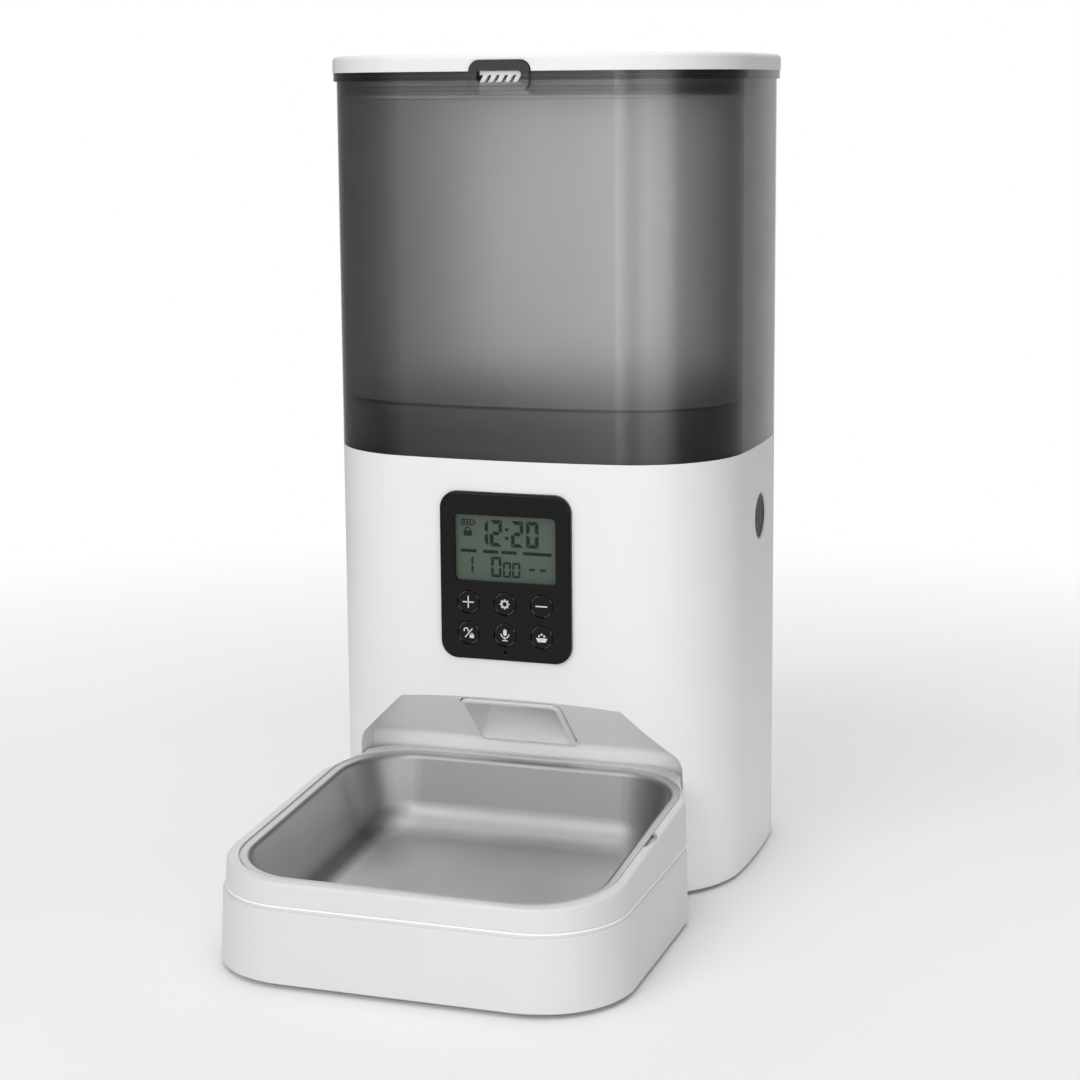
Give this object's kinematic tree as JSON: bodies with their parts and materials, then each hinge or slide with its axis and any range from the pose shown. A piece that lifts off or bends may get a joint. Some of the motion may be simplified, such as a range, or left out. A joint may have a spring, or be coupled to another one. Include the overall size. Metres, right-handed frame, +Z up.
{
  "type": "automatic dry food pet feeder",
  "caption": "Tall automatic dry-food feeder: smoky tank with hinged lid on a white base with timer panel, outlet chute and pull-out tray with a steel bowl.",
  "frame": {"origin": "on the floor under the middle of the object's overall width and depth", "axes": "+Z up; the bowl and the control panel face -Y; +X to the right of someone facing the panel"},
  "size_m": [0.2006, 0.316, 0.382],
  "materials": {
    "white_shell": "satin white injection-moulded ABS with a very fine grain",
    "smoky_tank": "frosted smoky grey translucent plastic",
    "black_gloss": "polished black",
    "black_plastic": "fine matt",
    "grey_plastic": "moulded mid grey",
    "grey_button": "dark grey moulded",
    "wheel_plastic": "moulded dark grey",
    "gear_plastic": "natural acetal",
    "bush_brass": "sintered",
    "motor_can": "plated can",
    "contact_steel": "nickel plated",
    "screw_steel": "zinc plated",
    "cell_jacket": "plain printed jacket",
    "board_green": "solder mask",
    "lcd_window": "clear window",
    "lcd_glass": "grey-green liquid-crystal panel",
    "foot_rubber": "matt",
    "seal_silicone": "translucent grey silicone",
    "bowl_steel": "satin-blasted stainless inside, polished edge"
  },
  "bodies": {
    "base": {"base_housing": "white_shell", "base_plate": "white_shell", "base_screws": "screw_steel", "base_feet": "foot_rubber", "speaker": "black_plastic", "battery_case": "grey_plastic", "battery_cells": "cell_jacket", "battery_contacts": "contact_steel", "dosing_chamber": "grey_plastic", "deck_screws": "screw_steel", "feed_chute": "white_shell", "wheel_bush": "bush_brass", "gear_motor": "motor_can", "motor_bracket": "grey_plastic", "motor_screws": "screw_steel", "control_panel": "black_gloss", "lcd_lens": "lcd_window", "lcd_module": "lcd_glass", "keypad_mat": "foot_rubber", "main_board": "board_green", "dc_socket": "black_plastic", "release_guides": "grey_plastic", "release_spring_right": "contact_steel", "release_spring_left": "contact_steel"},
    "battery_cover": {"battery_door": "white_shell"},
    "feed_wheel": {"food_wheel": "wheel_plastic", "drive_shaft": "contact_steel", "drive_gear": "gear_plastic"},
    "motor_output": {"motor_pinion": "gear_plastic", "motor_shaft": "contact_steel"},
    "right_release": {"release_button_right": "grey_button"},
    "left_release": {"release_button_left": "grey_button"},
    "tank": {"food_tank": "smoky_tank", "hinge_pin": "contact_steel"},
    "lid_assembly": {"lid": "white_shell", "lid_seal": "seal_silicone", "desiccant_box": "white_shell", "desiccant_cover": "white_shell"},
    "catch": {"lid_catch": "white_shell"},
    "tray": {"tray_base": "white_shell", "tray_frame": "white_shell", "tray_screws": "screw_steel", "tray_feet": "foot_rubber"},
    "bowl": {"food_bowl": "bowl_steel"},
    "key_plus_button": {"key_plus": "black_gloss"},
    "key_set_button": {"key_set": "black_gloss"},
    "key_minus_button": {"key_minus": "black_gloss"},
    "key_lock_button": {"key_lock": "black_gloss"},
    "key_record_button": {"key_record": "black_gloss"},
    "key_feed_button": {"key_feed": "black_gloss"}
  },
  "joints": [
    {"name": "wheel_spin", "type": "hinge", "parent": "base", "child": "feed_wheel", "pos_m": [0, 0.0756, 0.12], "axis": [0, 0, 1], "continuous": true},
    {"name": "pinion_spin", "type": "hinge", "parent": "base", "child": "motor_output", "pos_m": [0, 0.0996, 0.1], "axis": [0, 0, 1], "continuous": true},
    {"name": "tank_lift", "type": "slide", "parent": "base", "child": "tank", "axis": [0, 0, 1], "range_m": [0, 0.12]},
    {"name": "lid_hinge", "type": "hinge", "parent": "tank", "child": "lid_assembly", "pos_m": [0, 0.154, 0.3744], "axis": [-1, 0, 0], "range_deg": [0, 105]},
    {"name": "catch_press", "type": "slide", "parent": "lid_assembly", "child": "catch", "axis": [0, 1, 0], "range_m": [0, 0.0018], "stiffness_N_per_m": 900},
    {"name": "tray_pull", "type": "slide", "parent": "base", "child": "tray", "axis": [0, -1, 0], "range_m": [0, 0.07]},
    {"name": "bowl_lift", "type": "hinge", "parent": "tray", "child": "bowl", "pos_m": [0, 0.00938, 0.05445], "axis": [-1, 0, 0], "range_deg": [0, 28]},
    {"name": "right_release_press", "type": "slide", "parent": "base", "child": "right_release", "axis": [-1, 0, 0], "range_m": [0, 0.003], "stiffness_N_per_m": 800, "deforming": ["release_spring_right"]},
    {"name": "left_release_press", "type": "slide", "parent": "base", "child": "left_release", "axis": [1, 0, 0], "range_m": [0, 0.003], "stiffness_N_per_m": 800, "deforming": ["release_spring_left"]},
    {"name": "battery_door_pull", "type": "slide", "parent": "base", "child": "battery_cover", "axis": [0, 0, -1], "range_m": [0, 0.03]},
    {"name": "key_plus_press", "type": "slide", "parent": "base", "child": "key_plus_button", "axis": [0, 1, 0], "range_m": [0, 0.0008], "stiffness_N_per_m": 500},
    {"name": "key_set_press", "type": "slide", "parent": "base", "child": "key_set_button", "axis": [0, 1, 0], "range_m": [0, 0.0008], "stiffness_N_per_m": 500},
    {"name": "key_minus_press", "type": "slide", "parent": "base", "child": "key_minus_button", "axis": [0, 1, 0], "range_m": [0, 0.0008], "stiffness_N_per_m": 500},
    {"name": "key_lock_press", "type": "slide", "parent": "base", "child": "key_lock_button", "axis": [0, 1, 0], "range_m": [0, 0.0008], "stiffness_N_per_m": 500},
    {"name": "key_record_press", "type": "slide", "parent": "base", "child": "key_record_button", "axis": [0, 1, 0], "range_m": [0, 0.0008], "stiffness_N_per_m": 500},
    {"name": "key_feed_press", "type": "slide", "parent": "base", "child": "key_feed_button", "axis": [0, 1, 0], "range_m": [0, 0.0008], "stiffness_N_per_m": 500}
  ],
  "couplings": [
    {"joint": "pinion_spin", "follows": "wheel_spin", "ratio": -3}
  ]
}
